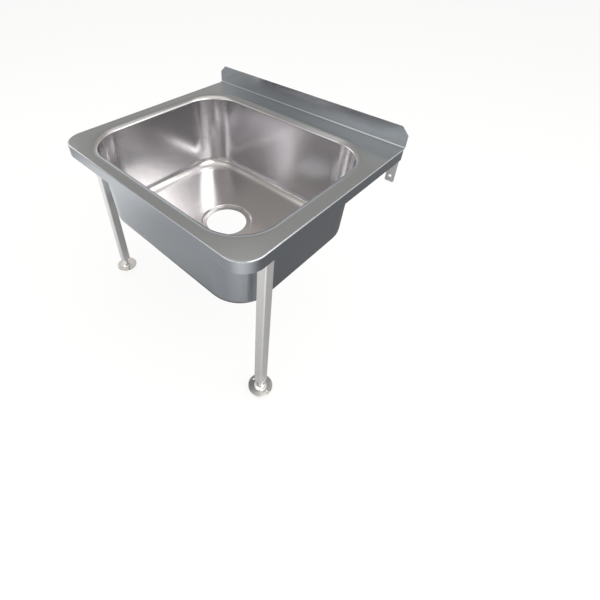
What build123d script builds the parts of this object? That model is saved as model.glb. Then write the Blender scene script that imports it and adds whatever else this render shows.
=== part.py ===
from build123d import *

import os
from math import cos, radians, sin, tan

# Low-level utility sink: a pressed bowl welded into a folded deck, carried by two
# wall-fixed leg frames that stand on screw feet.
# Millimetres. +X runs along the deck, +Y towards the wall, +Z up.
# The origin is on the floor, in the middle of the deck's plan.

# Sheet metal
SHEET = 1.2
FOLD_RADIUS = 1.0
FOLD_RELIEF = 1.0

# Bowl: its depth and sides, and the two bends of its rim, first a soft one and then a tight one
BOWL_DEPTH = 187.0
BOWL_CORNER = 78.0
BOWL_DRAFT = 2.5
FLOOR_BEND = 22.0
FLOOR_LAND = 2.0
RIM_LAND = 3.0
RIM_SOFT_BEND = 23.0
RIM_DIP = 35.0
RIM_FLAT = 0.5
RIM_ROLL = 4.5

# Waste seat in the bowl's floor
WASTE_HOLE = 90.0
WASTE_SEAT = 111.0
WASTE_STEP = 4.0
WASTE_BEND = 1.2
SEAT_LAND = 2.0

# Deck around the bowl
DECK_WIDTH = 520.0
DECK_DEPTH = 450.0
FRONT_RIM = 29.0
BACK_RIM = 61.0
APRON = 24.0
DECK_CORNER = 42.0
UPSTAND = 42.0
UPSTAND_BEND = 2.5
UPSTAND_CHAMFER = 15.0

# Leg frames
TUBE = 19.0
TUBE_WALL = 1.5
TUBE_CORNER = 2.5
ARM_DEPTH = 14.5
ARM_WALL = 1.5
ARM_CORNER = 1.4
ARM_SIDE_GAP = 3.0
ARM_RIM_GAP = 0.1
LEG_LENGTH = 370.0
LEG_SETBACK = 50.0
LUG_LENGTH = 80.0
LUG_THICK = 2.5
LUG_HOLE = 6.5
LUG_HOLE_DROP = 27.0
LUG_HOLE_PITCH = 40.0
LUG_END_RADIUS = 3.0
PLATE_LENGTH = 26.0
PLATE_THICK = 2.0
PLATE_HOLE = 4.0
PLATE_HOLE_INSET = 5.0
PLATE_LEG_GAP = 3.0

# Screw feet
INSERT_LENGTH = 25.0
INSERT_RECESS = 3.0
INSERT_CORNER = 5.0
THREAD = 10.0
THREAD_LENGTH = 45.0
THREAD_CLEARANCE = 0.1
THREAD_TIP = 1.0
HEX_FLATS = 10.0
HEX_LENGTH = 9.0
STUD_SHOWN = 20.0
NECK = 7.6
NECK_CLEARANCE = 0.2
SWIVEL_PLAY = 0.2
PEEN = 11.0
PEEN_THICK = 1.8
PEEN_ROUND = 1.4
FLANGE = 50.0
FLANGE_SHEET = 2.0
FLANGE_RISE = 4.5
FLANGE_TOP_RADIUS = 7.5
FLANGE_CONE_RADIUS = 12.0
FLANGE_BEND = 1.0
FLANGE_EDGE = 0.9
FOOT_HOLE = 4.4
FOOT_HOLE_PCD = 37.0

# Sizes that follow from the ones above
HALF_SHEET = SHEET / 2
FLANGE_TOP = FLANGE_RISE + FLANGE_SHEET
TUBE_END = FLANGE_TOP + STUD_SHOWN
ARM_TOP = TUBE_END + LEG_LENGTH
DECK_TOP = ARM_TOP + SHEET
FLOOR_Z = DECK_TOP - BOWL_DEPTH
SOFT_TANGENT = (RIM_SOFT_BEND - HALF_SHEET) * tan(radians(RIM_DIP) / 2)
ROLL_TANGENT = (RIM_ROLL - HALF_SHEET) * tan(radians(90 - BOWL_DRAFT - RIM_DIP) / 2)
RIM_SLOPE = SOFT_TANGENT + RIM_FLAT + ROLL_TANGENT
ROLL_Z = DECK_TOP - HALF_SHEET - RIM_SLOPE * sin(radians(RIM_DIP))
SIDE_LEAN = tan(radians(BOWL_DRAFT))
SIDE_OUT = HALF_SHEET / cos(radians(BOWL_DRAFT))
ROLL_OUT = SIDE_OUT - (DECK_TOP - ROLL_Z) * SIDE_LEAN
SOFT_OUT = ROLL_OUT + RIM_SLOPE * cos(radians(RIM_DIP))
RIM_WIDTH = SOFT_OUT + SOFT_TANGENT
RIM_OUT = RIM_WIDTH + RIM_LAND
SIDE_RIM = RIM_WIDTH + ARM_RIM_GAP + TUBE - ARM_CORNER + ARM_SIDE_GAP + SHEET
BOWL_WIDTH = DECK_WIDTH - 2 * SIDE_RIM
BOWL_LENGTH = DECK_DEPTH - FRONT_RIM - BACK_RIM
WALL_Y = DECK_DEPTH / 2
FRONT_Y = -DECK_DEPTH / 2
BOWL_Y = FRONT_Y + FRONT_RIM + BOWL_LENGTH / 2
TRAY_Y = WALL_Y - SHEET - UPSTAND_BEND - FOLD_RELIEF
SEAT_EDGE = WASTE_SEAT / 2 + SHEET + WASTE_BEND + SEAT_LAND
LEG_FRONT = FRONT_Y + LEG_SETBACK
LEG_BACK = LEG_FRONT + TUBE
LEG_Y = LEG_FRONT + TUBE / 2
ARM_END = WALL_Y - LUG_THICK
FRAME_X = DECK_WIDTH / 2 - SHEET - ARM_SIDE_GAP - TUBE / 2
TUBE_BORE = TUBE - 2 * TUBE_WALL
ARM_INSIDE = TUBE - 2 * ARM_WALL


def prism(plan, low, high):
    """A plan drawn about the origin, extruded from one height to another."""
    return Pos(0, 0, low) * extrude(plan, high - low)


def slab(x_range, y_range, z_range):
    """A box between two corners."""
    spans = (x_range, y_range, z_range)
    middle = [(low + high) / 2 for low, high in spans]
    return Pos(*middle) * Box(*[high - low for low, high in spans])


def bent_sheet(points, bend, thickness):
    """A sheet's section: a line of even thickness, with its bends' inside radius."""
    return trace(FilletPolyline(*points, radius=bend + thickness / 2), thickness)


def edges_at(part, z, tolerance=0.01):
    """The edges of a part that lie in one horizontal plane."""
    return part.edges().filter_by_position(Axis.Z, z - tolerance, z + tolerance)


def deck_plan(inset):
    """The deck's outline in front of its back fold: round front corners, square back ones."""
    half = DECK_WIDTH / 2 - inset
    front = FRONT_Y + inset
    corner = DECK_CORNER - inset
    outline = FilletPolyline(
        (-half, TRAY_Y),
        (-half, front),
        (half, front),
        (half, TRAY_Y),
        radius=corner,
    )
    return make_face([*outline.edges(), Line((half, TRAY_Y), (-half, TRAY_Y))])


def bowl_plan(grow):
    """The bowl's rounded outline at deck level, grown outwards."""
    size = (BOWL_WIDTH + 2 * grow, BOWL_LENGTH + 2 * grow)
    return Pos(0, BOWL_Y) * RectangleRounded(*size, BOWL_CORNER + grow)


def folded_edge(solid, radius):
    """Rounds the top edges of the deck's front and sides, and leaves the back one sharp."""
    top = edges_at(solid, solid.bounding_box().max.Z)
    return fillet([edge for edge in top if edge.center().Y < TRAY_Y - 0.01], radius)


def deck():
    low = DECK_TOP - APRON
    outside = folded_edge(prism(deck_plan(0), low, DECK_TOP), FOLD_RADIUS + SHEET)
    inside = folded_edge(prism(deck_plan(SHEET), low, DECK_TOP - SHEET), FOLD_RADIUS)
    middle_y = WALL_Y - SHEET / 2
    middle_z = DECK_TOP - SHEET / 2
    crest = DECK_TOP + UPSTAND
    bent = bent_sheet([(TRAY_Y, middle_z), (middle_y, middle_z), (middle_y, crest)], UPSTAND_BEND, SHEET)
    upstand = extrude(Plane.YZ * bent, DECK_WIDTH / 2, both=True)
    upstand = chamfer(edges_at(upstand, crest).filter_by(Axis.Y), UPSTAND_CHAMFER)
    opening = prism(bowl_plan(RIM_OUT), low, crest)
    return outside - inside + upstand - opening


def bowl_side():
    """The section of the bowl's sheet from its rim down to its floor, as (outwards from the mouth, height)."""
    high = DECK_TOP - HALF_SHEET
    low = FLOOR_Z - HALF_SHEET
    foot = SIDE_OUT - (DECK_TOP - low) * SIDE_LEAN
    floor_edge = foot - (FLOOR_BEND + HALF_SHEET) * tan(radians(90 - BOWL_DRAFT) / 2) - FLOOR_LAND
    corners = [(SOFT_OUT, high), (ROLL_OUT, ROLL_Z), (foot, low)]
    bends = [RIM_SOFT_BEND - HALF_SHEET, RIM_ROLL - HALF_SHEET, FLOOR_BEND + HALF_SHEET]
    line = FilletPolyline((RIM_OUT, high), *corners, (floor_edge, low), radius=bends)
    return trace(line, SHEET).face(), floor_edge


def bowl():
    """The bowl's side, swept round its mouth, with its floor and waste seat."""
    section, floor_edge = bowl_side()
    mouth = bowl_plan(0).wire()
    ahead = mouth % 0
    across_mouth = Plane(mouth @ 0, x_dir=ahead.cross(Vector(0, 0, 1)), z_dir=-ahead)
    side = sweep(across_mouth * section, path=mouth)
    floor = prism(bowl_plan(floor_edge) - Pos(0, BOWL_Y) * Circle(SEAT_EDGE), FLOOR_Z - SHEET, FLOOR_Z)
    return side + floor + waste_seat()


def waste_seat():
    """The round seat for the waste, pressed down from the floor, with its hole."""
    wall = WASTE_SEAT / 2 + SHEET / 2
    high = FLOOR_Z - SHEET / 2
    low = high - WASTE_STEP
    line = [(SEAT_EDGE, high), (wall, high), (wall, low), (WASTE_HOLE / 2, low)]
    section = Plane.XZ * bent_sheet(line, WASTE_BEND, SHEET)
    return Pos(0, BOWL_Y, 0) * revolve(section, Axis.Z)


def across(width):
    """The span of x that a piece of the right-hand frame covers."""
    return (FRAME_X - width / 2, FRAME_X + width / 2)


def arm_channel():
    """The arm's web runs on over the leg; its two flanges stop at the leg's back face."""
    low = ARM_TOP - ARM_DEPTH
    web_under = ARM_TOP - ARM_WALL
    bar = slab(across(TUBE), (LEG_FRONT, ARM_END), (low, ARM_TOP))
    bar = fillet(edges_at(bar, ARM_TOP).filter_by(Axis.Y), ARM_CORNER)
    trough = slab(across(ARM_INSIDE), (LEG_FRONT, ARM_END), (low, web_under))
    coping = slab(across(TUBE), (LEG_FRONT, LEG_BACK), (low, web_under))
    return bar - trough - coping


def foot_place():
    """The vertical axis of the right-hand leg and its foot."""
    return Pos(FRAME_X, LEG_Y, 0)


def leg_tube():
    outside = RectangleRounded(TUBE, TUBE, TUBE_CORNER)
    inside = RectangleRounded(TUBE_BORE, TUBE_BORE, TUBE_CORNER - TUBE_WALL)
    return foot_place() * prism(outside - inside, TUBE_END, ARM_TOP - ARM_WALL)


def wall_lug():
    strap = slab(across(TUBE), (ARM_END, WALL_Y), (ARM_TOP - LUG_LENGTH, ARM_TOP))
    strap = fillet(edges_at(strap, ARM_TOP - LUG_LENGTH).filter_by(Axis.Y), LUG_END_RADIUS)
    for drop in (LUG_HOLE_DROP, LUG_HOLE_DROP + LUG_HOLE_PITCH):
        place = Pos(FRAME_X, ARM_END + LUG_THICK / 2, ARM_TOP - drop)
        strap -= place * Rot(90, 0, 0) * Cylinder(LUG_HOLE / 2, 2 * LUG_THICK)
    return strap


def corner_plate():
    front = LEG_BACK + PLATE_LEG_GAP
    high = ARM_TOP - ARM_WALL
    low = high - PLATE_THICK
    plate = slab(across(ARM_INSIDE), (front, front + PLATE_LENGTH), (low, high))
    return plate - Pos(FRAME_X, front + PLATE_HOLE_INSET, 0) * prism(Circle(PLATE_HOLE / 2), low, high)


def tube_insert():
    low = TUBE_END + INSERT_RECESS
    plan = RectangleRounded(TUBE_BORE, TUBE_BORE, INSERT_CORNER) - Circle(THREAD / 2 + THREAD_CLEARANCE)
    return foot_place() * prism(plan, low, low + INSERT_LENGTH)


def levelling_stud():
    seat = FLANGE_TOP + SWIVEL_PLAY
    shoulder = seat + HEX_LENGTH
    tip = shoulder + THREAD_LENGTH
    peen_top = FLANGE_RISE - SWIVEL_PLAY
    shank = prism(RegularPolygon(HEX_FLATS / 2, 6, major_radius=False), seat, shoulder)
    thread = prism(Circle(THREAD / 2), shoulder, tip)
    thread = chamfer(edges_at(thread, tip), THREAD_TIP)
    neck = prism(Circle(NECK / 2), peen_top, seat)
    peen = prism(Circle(PEEN / 2), peen_top - PEEN_THICK, peen_top)
    peen = fillet(edges_at(peen, peen_top - PEEN_THICK), PEEN_ROUND)
    return foot_place() * (shank + thread + neck + peen)


def foot_flange():
    middle = FLANGE_SHEET / 2
    line = [
        (NECK / 2 + NECK_CLEARANCE, FLANGE_RISE + middle),
        (FLANGE_TOP_RADIUS, FLANGE_RISE + middle),
        (FLANGE_CONE_RADIUS, middle),
        (FLANGE / 2, middle),
    ]
    disc = revolve(Plane.XZ * bent_sheet(line, FLANGE_BEND, FLANGE_SHEET), Axis.Z)
    rim = disc.edges().filter_by(GeomType.CIRCLE).group_by(SortBy.RADIUS)[-1]
    disc = fillet(rim, FLANGE_EDGE)
    for side in (-1, 1):
        disc -= Pos(side * FOOT_HOLE_PCD / 2, 0, 0) * prism(Circle(FOOT_HOLE / 2), 0, FLANGE_SHEET)
    return foot_place() * disc


def both_sides(make):
    """The left and right copies of a right-hand piece, under their own names."""
    right = make()
    return {f"left_{make.__name__}": mirror(right, Plane.YZ), f"right_{make.__name__}": right}


os.makedirs("parts", exist_ok=True)
pieces = {"deck": deck(), "bowl": bowl()}
for make in (arm_channel, leg_tube, wall_lug, corner_plate, tube_insert, levelling_stud, foot_flange):
    pieces |= both_sides(make)
for name, piece in pieces.items():
    export_step(piece, f"parts/{name}.step")
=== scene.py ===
import math

import bmesh
import bpy
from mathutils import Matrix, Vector


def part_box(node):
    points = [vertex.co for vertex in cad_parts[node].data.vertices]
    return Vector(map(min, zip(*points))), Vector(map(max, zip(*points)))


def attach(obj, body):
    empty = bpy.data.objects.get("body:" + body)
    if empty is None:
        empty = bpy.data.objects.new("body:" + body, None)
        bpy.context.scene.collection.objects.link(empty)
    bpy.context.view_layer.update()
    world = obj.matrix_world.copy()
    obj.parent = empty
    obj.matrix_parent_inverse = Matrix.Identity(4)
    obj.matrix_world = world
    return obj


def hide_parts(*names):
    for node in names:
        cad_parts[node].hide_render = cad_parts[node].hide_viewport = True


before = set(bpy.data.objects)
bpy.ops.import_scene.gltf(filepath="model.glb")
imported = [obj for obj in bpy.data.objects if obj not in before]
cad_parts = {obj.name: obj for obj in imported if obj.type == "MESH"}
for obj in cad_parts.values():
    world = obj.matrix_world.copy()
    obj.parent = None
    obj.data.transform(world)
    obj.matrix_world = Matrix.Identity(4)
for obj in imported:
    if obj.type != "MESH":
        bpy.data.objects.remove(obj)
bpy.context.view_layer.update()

MM = 0.001
SIDES = ("left", "right")

# The photograph's camera, worked out from the sink's edges
IMAGE_SIZE = 600.0
FOCAL_PIXELS = 389.2
CENTRE_PIXEL = (246.6, 217.1)
CAMERA_PLACE = (0.5034, -0.4729, 0.7751)
CAMERA_TURN = 43.93
CAMERA_PITCH = 39.35
CAMERA_NEAR = 0.01
SENSOR = 36.0

# The screw feet's studs, in millimetres. HEX_FACE is the round end face inside the chamfers,
# PEEN_SWIVEL the length of the neck, and THREAD_TIP the length over which the thread runs out
HEX_FLATS = 10.0
HEX_FACE = 9.9
HEX_CHAMFER = 0.5
HEX_LENGTH = 9.0
NECK = 7.6
PEEN = 11.0
PEEN_THICK = 1.8
PEEN_ROUND = 1.35
PEEN_SWIVEL = 2.4
PEEN_STEPS = 6
THREAD_CREST = 9.9
THREAD_ROOT = 8.2
THREAD_PITCH = 1.5
THREAD_TIP = 1.0

# The shares of a thread's turn where its crest begins and ends, and its root begins and ends
THREAD_SHARES = (0.0, 0.15, 0.45, 0.7)

# Points round a stud, how near two points are one, and the angle from which an edge is sharp
STUD_STEPS = 24
SAME_PLACE = 0.001
SHARP_EDGE = 35.0

# The steels
DECK_COLOUR = (0.47, 0.5, 0.533)
DECK_ROUGHNESS = 0.23
# The bowl's colour inside is lighter than the deck's steel: a painted sheen for the brighter light
# inside the bowl
BOWL_SHEEN_COLOUR = (0.655, 0.65, 0.67)
BOWL_ROUGHNESS = 0.21
FRAME_COLOUR = (0.9, 0.9, 0.9)
FRAME_ROUGHNESS = 0.5
FOOT_COLOUR = (0.84, 0.84, 0.84)
FOOT_ROUGHNESS = 0.36

# How far in metres the middle of the mouth lies in front of the bowl's surface
# # where its smoother finish and its painted sheen, a lighter colour, begin and where they are full
POLISH_AND_SHEEN_START = 0.09
POLISH_AND_SHEEN_FULL = 0.14

# Brush strokes: how much finer they are along each axis, their scale and their depth
SHEET_STROKES = ((1, 14, 14), 60.0, 0.015)
FRAME_STROKES = ((12, 12, 1), 40.0, 0.04)
FOOT_STROKES = ((1, 1, 1), 40.0, 0.04)
STROKE_DETAIL = 6.0
STROKE_BREAKS = 0.65
STROKE_HEIGHT = 0.0005

# What the strokes do: two noise levels with the tones they give, and two with the change of gloss
STROKE_TONES = {0.25: 0.96, 0.75: 1.04}
STROKE_LEVELS = (0.3, 0.7)
GLOSS_CHANGE = 0.02

# The studio. Its floor lies lower than the soles at rest, so that a foot screwed right out stays over it
FLOOR_DROP = 0.0155
FLOOR_REACH = 30.0
FLOOR_PAINT = (0.92, 0.92, 0.92, 1)
FLOOR_WHITE = 0.9
ROOM_WHITE = (1, 1, 1, 1)
ROOM_COLOUR = (0.478, 0.45, 0.41, 1)
WHITE_BELOW = 0.07
GREY_ABOVE = 0.36
LAMP_COLOUR = (1.0, 0.965, 0.92)
LAMP_AIM = Vector((0, 0, 0.3))

# Lamps: azimuth, elevation, distance, half angles across and up, and brightness in a mirror
SOFTBOXES = {
    "key": (7, 46, 2.0, (23, 16), 3.4),
    "front": (265, 19, 2.2, (25, 10), 1.9),
    "left": (191, 26, 2.0, (16, 6.5), 2.5),
    "back_high": (68, 55, 2.0, (14, 6), 1.2),
    "right_low": (40, 25, 2.2, (22, 7), 1.1),
    "front_right": (320, 10, 2.2, (25, 9), 1.8),
    "top": (0, 88, 2.2, (30, 30), 0.55),
    "sky_panel": (0, 89, 2.6, (22, 22), 1.8),
}
LAMP_UNSEEN_IN_METAL = "sky_panel"

# Dark cards that only the metal sees; the front and under ones are painted shade and shadow of the sink
# on the floor. Middle, height over the floor, half sizes and grey
FLAGS = {
    # Painted shade of the floor in front of the sink, as the metal mirrors it
    "front_shade_flag": ((-0.08, -0.45), 0.002, (0.58, 0.5), 0.5),
    "right_flag": ((0.55, 0.45), 0.004, (1.0, 1.1), 0.21),
    "left_flag": ((-1.25, -0.65), 0.006, (0.55, 0.55), 0.3),
    # Painted shadow of the sink on the floor beneath it, as the metal mirrors it
    "under_shadow_flag": ((0.0, 0.0), 0.008, (0.4, 0.36), 0.12),
}
FLAG_EDGE = 0.6


def ring(radius, z):
    """A row of points round the z axis."""
    turns = [math.tau * k / STUD_STEPS for k in range(STUD_STEPS)]
    return [Vector((radius * math.cos(turn), radius * math.sin(turn), z)) for turn in turns]


def hexagon_ring(z, chamfer):
    """A row round the hexagon, shifted by the chamfer at its corners."""
    flat = HEX_FLATS / 2
    corner = HEX_FLATS / math.sqrt(3)
    row = []
    for way in ring(1, 0):
        past_corner = (math.atan2(way.y, way.x) + math.pi / 6) % (math.pi / 3)
        reach = flat / math.cos(past_corner - math.pi / 6)
        shift = chamfer * (reach - flat) / (corner - flat)
        row.append(way * reach + Vector((0, 0, z + shift)))
    return row


def stud_rows(low):
    """Rows up a levelling stud to its thread: peened end, neck and chamfered hexagon shank."""
    peen_top = low + PEEN_THICK
    seat = peen_top + PEEN_SWIVEL
    shoulder = seat + HEX_LENGTH
    rows = []
    for k in range(PEEN_STEPS, -1, -1):
        angle = math.pi / 2 * k / PEEN_STEPS
        reach = PEEN / 2 - PEEN_ROUND * (1 - math.cos(angle))
        rows.append(ring(reach, peen_top - PEEN_THICK * math.sin(angle)))
    rows += [ring(NECK / 2, peen_top), ring(NECK / 2, seat)]
    rows += [ring(HEX_FACE / 2, seat), hexagon_ring(seat, HEX_CHAMFER)]
    rows += [hexagon_ring(shoulder, -HEX_CHAMFER), ring(HEX_FACE / 2, shoulder)]
    rows.append(ring(THREAD_ROOT / 2, shoulder))
    return rows, shoulder


def thread_rows(low, high):
    """Rows that climb with the screw thread, turn by turn, and run out at both ends."""
    crest, root = THREAD_CREST / 2, THREAD_ROOT / 2
    rows = []
    for turn in range(-1, math.ceil((high - low) / THREAD_PITCH) + 1):
        for share, radius in zip(THREAD_SHARES, (crest, crest, root, root)):
            row = []
            for k, way in enumerate(ring(1, 0)):
                z = low + THREAD_PITCH * (turn + share + k / STUD_STEPS)
                begun = min(1, max(0, (z - low) / THREAD_TIP))
                to_go = min(1, max(0, (high - z) / THREAD_TIP))
                reach = root + (radius - root) * begun * to_go - THREAD_TIP / 2 * (1 - to_go)
                row.append(way * reach + Vector((0, 0, min(high, max(low, z)))))
            rows.append(row)
    return rows


def join_rows(skin, rows, climb=0):
    """Quads between rows. A row that climbs ends at the start of the row so many further on."""
    points = [[skin.verts.new(place) for place in row] for row in rows]
    for r in range(len(rows) - 1):
        for c in range(STUD_STEPS):
            after = (c + 1) % STUD_STEPS
            shift = 0 if after else climb
            if r + 1 + shift < len(rows):
                far = (points[r + shift][after], points[r + 1 + shift][after])
                skin.faces.new((points[r][c], *far, points[r + 1][c]))
    return points


def make_stud(side, finish):
    """A levelling stud as one closed skin, in the place of the plain one."""
    low, high = (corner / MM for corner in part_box(f"{side}_levelling_stud"))
    skin = bmesh.new()
    rows, shoulder = stud_rows(low.z)
    shank = join_rows(skin, rows)
    thread = join_rows(skin, thread_rows(shoulder, high.z), climb=len(THREAD_SHARES))
    skin.faces.new(shank[0])
    skin.faces.new(thread[-1])
    bmesh.ops.remove_doubles(skin, verts=skin.verts, dist=SAME_PLACE)
    bmesh.ops.recalc_face_normals(skin, faces=skin.faces)
    axis = Vector(((low.x + high.x) / 2, (low.y + high.y) / 2, 0))
    bmesh.ops.translate(skin, verts=skin.verts, vec=axis)
    bmesh.ops.scale(skin, verts=skin.verts, vec=(MM, MM, MM))
    data = bpy.data.meshes.new(f"{side}_screw_stud")
    skin.to_mesh(data)
    skin.free()
    data.polygons.foreach_set("use_smooth", [True] * len(data.polygons))
    data.set_sharp_from_angle(angle=math.radians(SHARP_EDGE))
    data.materials.append(finish)
    stud = bpy.data.objects.new(f"{side}_screw_stud", data)
    bpy.context.scene.collection.objects.link(stud)
    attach(stud, f"{side}_stud")
    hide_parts(f"{side}_levelling_stud")


def linked(tree, kind, *values, **named):
    """A new node with its inputs linked or set, in their order or by their names."""
    node = tree.nodes.new(kind)
    for key, value in (*enumerate(values), *named.items()):
        socket = node.inputs[key]
        if isinstance(value, bpy.types.NodeSocket):
            tree.links.new(value, socket)
        else:
            socket.default_value = value
    return node


def worked_out(tree, kind, operation, *values):
    """A node that works out one result from its values."""
    node = linked(tree, kind, *values)
    node.operation = operation
    return node.outputs


def ranged(tree, value, **limits):
    """A value taken from one range to another, with limits such as from_min."""
    named = {name.replace("_", " ").title(): limit for name, limit in limits.items()}
    return linked(tree, "ShaderNodeMapRange", Value=value, **named)


def grain(tree, stretch, scale):
    """Fine brushing: noise that is drawn out along the strokes."""
    place = tree.nodes.new("ShaderNodeTexCoord").outputs["Object"]
    drawn = linked(tree, "ShaderNodeMapping", Vector=place, Scale=stretch).outputs["Vector"]
    looks = {"Scale": scale, "Detail": STROKE_DETAIL, "Roughness": STROKE_BREAKS}
    return linked(tree, "ShaderNodeTexNoise", Vector=drawn, **looks).outputs["Fac"]


def toned(tree, strokes, colour):
    """A steel's colour, a little darker and lighter with its brush strokes."""
    ramp = linked(tree, "ShaderNodeValToRGB", Fac=strokes)
    for element, (level, tone) in zip(ramp.color_ramp.elements, STROKE_TONES.items()):
        element.position = level
        element.color = (*[tone * part for part in colour], 1)
    return ramp.outputs["Color"]


def steel(name, colour, roughness, stretch, scale, depth):
    """Satin steel with brush strokes in its colour, its gloss and its surface."""
    material = bpy.data.materials.new(name)
    material.use_nodes = True
    tree = material.node_tree
    shader = tree.nodes["Principled BSDF"]
    shader.inputs["Metallic"].default_value = 1
    strokes = grain(tree, stretch, scale)
    tree.links.new(toned(tree, strokes, colour), shader.inputs["Base Color"])
    low, high = STROKE_LEVELS
    glossy, dull = roughness - GLOSS_CHANGE, roughness + GLOSS_CHANGE
    gloss = ranged(tree, strokes, from_min=low, from_max=high, to_min=glossy, to_max=dull)
    tree.links.new(gloss.outputs["Result"], shader.inputs["Roughness"])
    bump = linked(tree, "ShaderNodeBump", Height=strokes, Strength=depth, Distance=STROKE_HEIGHT)
    tree.links.new(bump.outputs["Normal"], shader.inputs["Normal"])
    return material


def bowl_steel():
    """The bowl's sheet: glossier inside and lighter there, a painted sheen; satin like the deck on its
    rim and outside.
    """
    material = steel("bowl_steel", DECK_COLOUR, DECK_ROUGHNESS, *SHEET_STROKES)
    tree = material.node_tree
    shader = tree.nodes["Principled BSDF"]
    satin = shader.inputs["Base Color"].links[0].from_socket
    low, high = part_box("bowl")
    mouth = ((low.x + high.x) / 2, (low.y + high.y) / 2, high.z)
    place = tree.nodes.new("ShaderNodeTexCoord").outputs["Object"]
    normal = tree.nodes.new("ShaderNodeNewGeometry").outputs["Normal"]
    inwards = worked_out(tree, "ShaderNodeVectorMath", "SUBTRACT", mouth, place)["Vector"]
    ahead = worked_out(tree, "ShaderNodeVectorMath", "DOT_PRODUCT", inwards, normal)["Value"]
    inside = ranged(tree, ahead, from_min=POLISH_AND_SHEEN_START, from_max=POLISH_AND_SHEEN_FULL)
    inside.interpolation_type = "SMOOTHSTEP"
    share = inside.outputs["Result"]
    stretch, scale, _ = SHEET_STROKES
    painted_sheen = toned(tree, grain(tree, stretch, scale), BOWL_SHEEN_COLOUR)
    # The faces towards the mouth take the lighter colour, which is painted sheen; the rim and outside
    # keep the satin
    finish = linked(tree, "ShaderNodeMixRGB", Fac=share, Color1=satin, Color2=painted_sheen)
    tree.links.new(finish.outputs["Color"], shader.inputs["Base Color"])
    gloss = ranged(tree, share, to_min=DECK_ROUGHNESS, to_max=BOWL_ROUGHNESS)
    tree.links.new(gloss.outputs["Result"], shader.inputs["Roughness"])
    return material


def make_finishes():
    """The four steels, by the record's slots, on every node of the frame."""
    finishes = {
        "deck_steel": steel("deck_steel", DECK_COLOUR, DECK_ROUGHNESS, *SHEET_STROKES),
        "bowl_steel": bowl_steel(),
        "frame_steel": steel("frame_steel", FRAME_COLOUR, FRAME_ROUGHNESS, *FRAME_STROKES),
        "foot_steel": steel("foot_steel", FOOT_COLOUR, FOOT_ROUGHNESS, *FOOT_STROKES),
    }
    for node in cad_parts.values():
        slot_name = node.data.materials[0].name
        node.data.materials[0] = finishes[slot_name.split(".")[0]]
    return finishes


def make_camera():
    """The photograph's camera."""
    data = bpy.data.cameras.new("camera")
    data.sensor_width = SENSOR
    data.lens = SENSOR * FOCAL_PIXELS / IMAGE_SIZE
    data.shift_x = 0.5 - CENTRE_PIXEL[0] / IMAGE_SIZE
    data.shift_y = CENTRE_PIXEL[1] / IMAGE_SIZE - 0.5
    data.clip_start = CAMERA_NEAR
    camera = bpy.data.objects.new("camera", data)
    camera.location = CAMERA_PLACE
    camera.rotation_euler = (math.radians(90 - CAMERA_PITCH), 0, math.radians(CAMERA_TURN))
    bpy.context.scene.collection.objects.link(camera)
    bpy.context.scene.camera = camera


def card(name, place, height, size):
    """A flat card so high over the floor, as part of the stage, and its empty node tree."""
    data = bpy.data.meshes.new(name)
    data.from_pydata([(-1, -1, 0), (1, -1, 0), (1, 1, 0), (-1, 1, 0)], [], [(0, 1, 2, 3)])
    material = bpy.data.materials.new(name)
    material.use_nodes = True
    material.node_tree.nodes.clear()
    data.materials.append(material)
    made = bpy.data.objects.new(name, data)
    made.location = (*place, height - FLOOR_DROP)
    made.scale = (*size, 1)
    bpy.context.scene.collection.objects.link(made)
    return made, material.node_tree


def mixed_surface(tree, share, first, second):
    """A material's surface: a first shader with a share of a second one."""
    mix = linked(tree, "ShaderNodeMixShader", share, first.outputs[0], second.outputs[0])
    linked(tree, "ShaderNodeOutputMaterial", mix.outputs[0])


def make_floor():
    """A white floor for the eye and in the metal, which still shows the shadow."""
    _, tree = card("floor", (0, 0), 0, (FLOOR_REACH, FLOOR_REACH))
    paint = linked(tree, "ShaderNodeBsdfDiffuse", Color=FLOOR_PAINT)
    white = linked(tree, "ShaderNodeEmission", Strength=1.0)
    path = tree.nodes.new("ShaderNodeLightPath").outputs
    seen = path["Is Camera Ray"]
    for ray in ("Is Glossy Ray", "Is Transmission Ray"):
        seen = worked_out(tree, "ShaderNodeMath", "MAXIMUM", seen, path[ray])["Value"]
    share = worked_out(tree, "ShaderNodeMath", "MULTIPLY", seen, FLOOR_WHITE)["Value"]
    mixed_surface(tree, share, paint, white)


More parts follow.
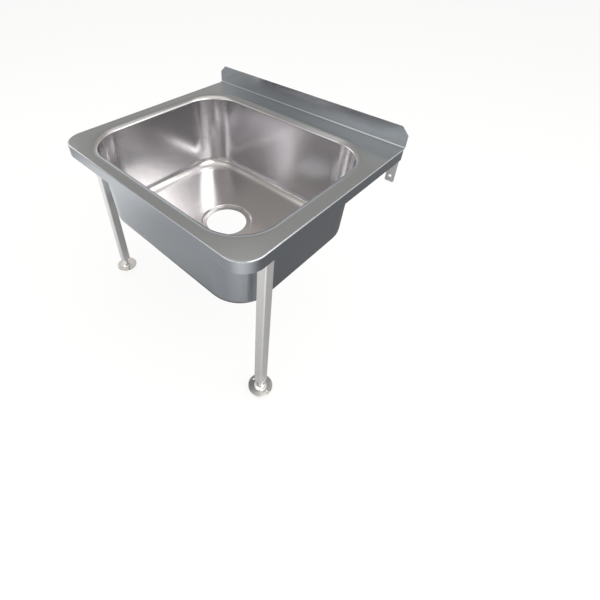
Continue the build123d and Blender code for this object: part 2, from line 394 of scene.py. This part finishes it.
def make_flag(name, place, height, size, grey):
    """A dark card on the floor with a soft edge, which only the metal sees."""
    flag, tree = card(name, place, height, size)
    flag.visible_camera = False
    flag.visible_diffuse = False
    flag.visible_shadow = False
    flag.visible_transmission = False
    middle = tree.nodes.new("ShaderNodeTexCoord").outputs["Object"]
    disc = linked(tree, "ShaderNodeTexGradient", Vector=middle)
    disc.gradient_type = "SPHERICAL"
    fade = ranged(tree, disc.outputs["Fac"], from_max=FLAG_EDGE)
    fade.interpolation_type = "SMOOTHSTEP"
    clear = tree.nodes.new("ShaderNodeBsdfTransparent")
    cloth = linked(tree, "ShaderNodeEmission", Strength=grey)
    mixed_surface(tree, fade.outputs["Result"], clear, cloth)


def make_world():
    """A plain grey room that turns white towards the floor, for the eye and in the metal alike."""
    world = bpy.data.worlds.new("studio")
    bpy.context.scene.world = world
    world.use_nodes = True
    tree = world.node_tree
    towards = tree.nodes.new("ShaderNodeTexCoord").outputs["Generated"]
    height = linked(tree, "ShaderNodeSeparateXYZ", Vector=towards).outputs["Z"]
    rise = ranged(tree, height, from_min=WHITE_BELOW, from_max=GREY_ABOVE)
    wall = linked(tree, "ShaderNodeValToRGB", Fac=rise.outputs["Result"])
    wall.color_ramp.interpolation = "EASE"
    wall.color_ramp.elements[0].color = ROOM_WHITE
    wall.color_ramp.elements[1].color = ROOM_COLOUR
    tree.links.new(wall.outputs["Color"], tree.nodes["Background"].inputs["Color"])


def direction(azimuth, elevation):
    """A direction out of the middle, with its azimuth counted from +X towards the wall, in degrees."""
    a, e = math.radians(azimuth), math.radians(elevation)
    return Vector((math.cos(e) * math.cos(a), math.cos(e) * math.sin(a), math.sin(e)))


def make_softbox(name, azimuth, elevation, distance, half_angles, brightness):
    """A lamp that faces the sink and looks so bright in a mirror."""
    data = bpy.data.lights.new(name, "AREA")
    data.shape = "RECTANGLE"
    data.size, data.size_y = (2 * distance * math.tan(math.radians(angle)) for angle in half_angles)
    data.energy = brightness * math.pi * data.size * data.size_y
    data.color = LAMP_COLOUR
    lamp = bpy.data.objects.new(name, data)
    outwards = direction(azimuth, elevation)
    lamp.location = LAMP_AIM + outwards * distance
    lamp.rotation_euler = (-outwards).to_track_quat("-Z", "Y").to_euler()
    lamp.visible_camera = False
    lamp.visible_glossy = name != LAMP_UNSEEN_IN_METAL
    bpy.context.scene.collection.objects.link(lamp)


finishes = make_finishes()
for side in SIDES:
    make_stud(side, finishes["foot_steel"])
make_camera()
make_floor()
make_world()
for name, setting in SOFTBOXES.items():
    make_softbox(name, *setting)
for name, setting in FLAGS.items():
    make_flag(name, *setting)
bpy.context.scene.view_settings.view_transform = "Standard"
